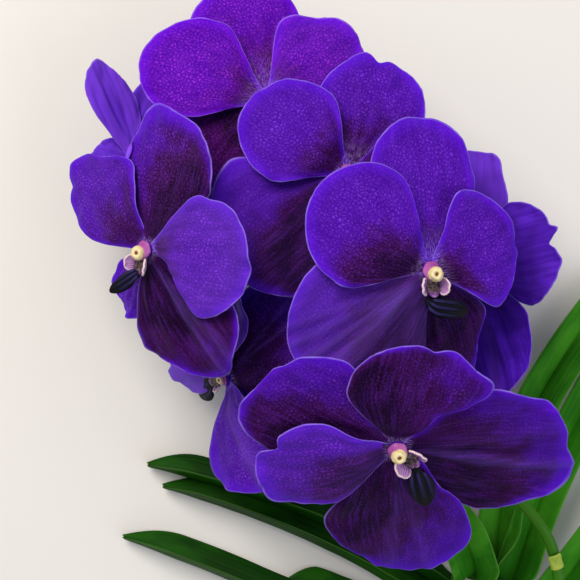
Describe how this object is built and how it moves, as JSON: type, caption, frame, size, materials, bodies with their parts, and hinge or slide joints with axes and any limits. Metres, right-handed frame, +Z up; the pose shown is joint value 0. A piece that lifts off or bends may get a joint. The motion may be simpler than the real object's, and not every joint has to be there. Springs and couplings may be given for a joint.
{
  "type": "cut orchid",
  "caption": "Cut vanda orchid shoot lying on its back: violet netted blooms on an arching flower stalk, above strap leaves in two ranks on a short stem.",
  "frame": {"origin": "on the surface that the shoot lies on, below the middle of its box", "axes": "+Z up, the way the blooms face; +Y from the cut end of the leafy stem towards the tip of the flower stalk"},
  "size_m": [0.319, 0.3668, 0.1347],
  "materials": {
    "tepal": "waxy satin petal",
    "column": "waxy",
    "lip": "waxy, ridged",
    "pedicel": "waxy",
    "peduncle": "smooth green stalk",
    "leafy_stem": "dry sheaths",
    "strap_leaf": "leathery leaf"
  },
  "bodies": {
    "root": {"leafy_stem": "leafy_stem", "peduncle": "peduncle", "leaf_left_1": "strap_leaf", "leaf_left_2": "strap_leaf", "leaf_left_3": "strap_leaf", "leaf_left_4": "strap_leaf", "leaf_left_5": "strap_leaf", "leaf_right_1": "strap_leaf", "leaf_right_2": "strap_leaf", "leaf_right_3": "strap_leaf", "leaf_right_4": "strap_leaf", "leaf_right_5": "strap_leaf", "bloom_1_perianth": "tepal", "bloom_1_column": "column", "bloom_1_lip": "lip", "bloom_1_pedicel": "pedicel", "bloom_2_perianth": "tepal", "bloom_2_column": "column", "bloom_2_lip": "lip", "bloom_2_pedicel": "pedicel", "bloom_3_perianth": "tepal", "bloom_3_column": "column", "bloom_3_lip": "lip", "bloom_3_pedicel": "pedicel", "bloom_4_perianth": "tepal", "bloom_4_column": "column", "bloom_4_lip": "lip", "bloom_4_pedicel": "pedicel", "bloom_5_perianth": "tepal", "bloom_5_column": "column", "bloom_5_lip": "lip", "bloom_5_pedicel": "pedicel", "bloom_6_perianth": "tepal", "bloom_6_column": "column", "bloom_6_lip": "lip", "bloom_6_pedicel": "pedicel", "bloom_7_perianth": "tepal", "bloom_7_column": "column", "bloom_7_lip": "lip", "bloom_7_pedicel": "pedicel", "bloom_8_perianth": "tepal", "bloom_8_column": "column", "bloom_8_lip": "lip", "bloom_8_pedicel": "pedicel"}
  },
  "joints": []
}
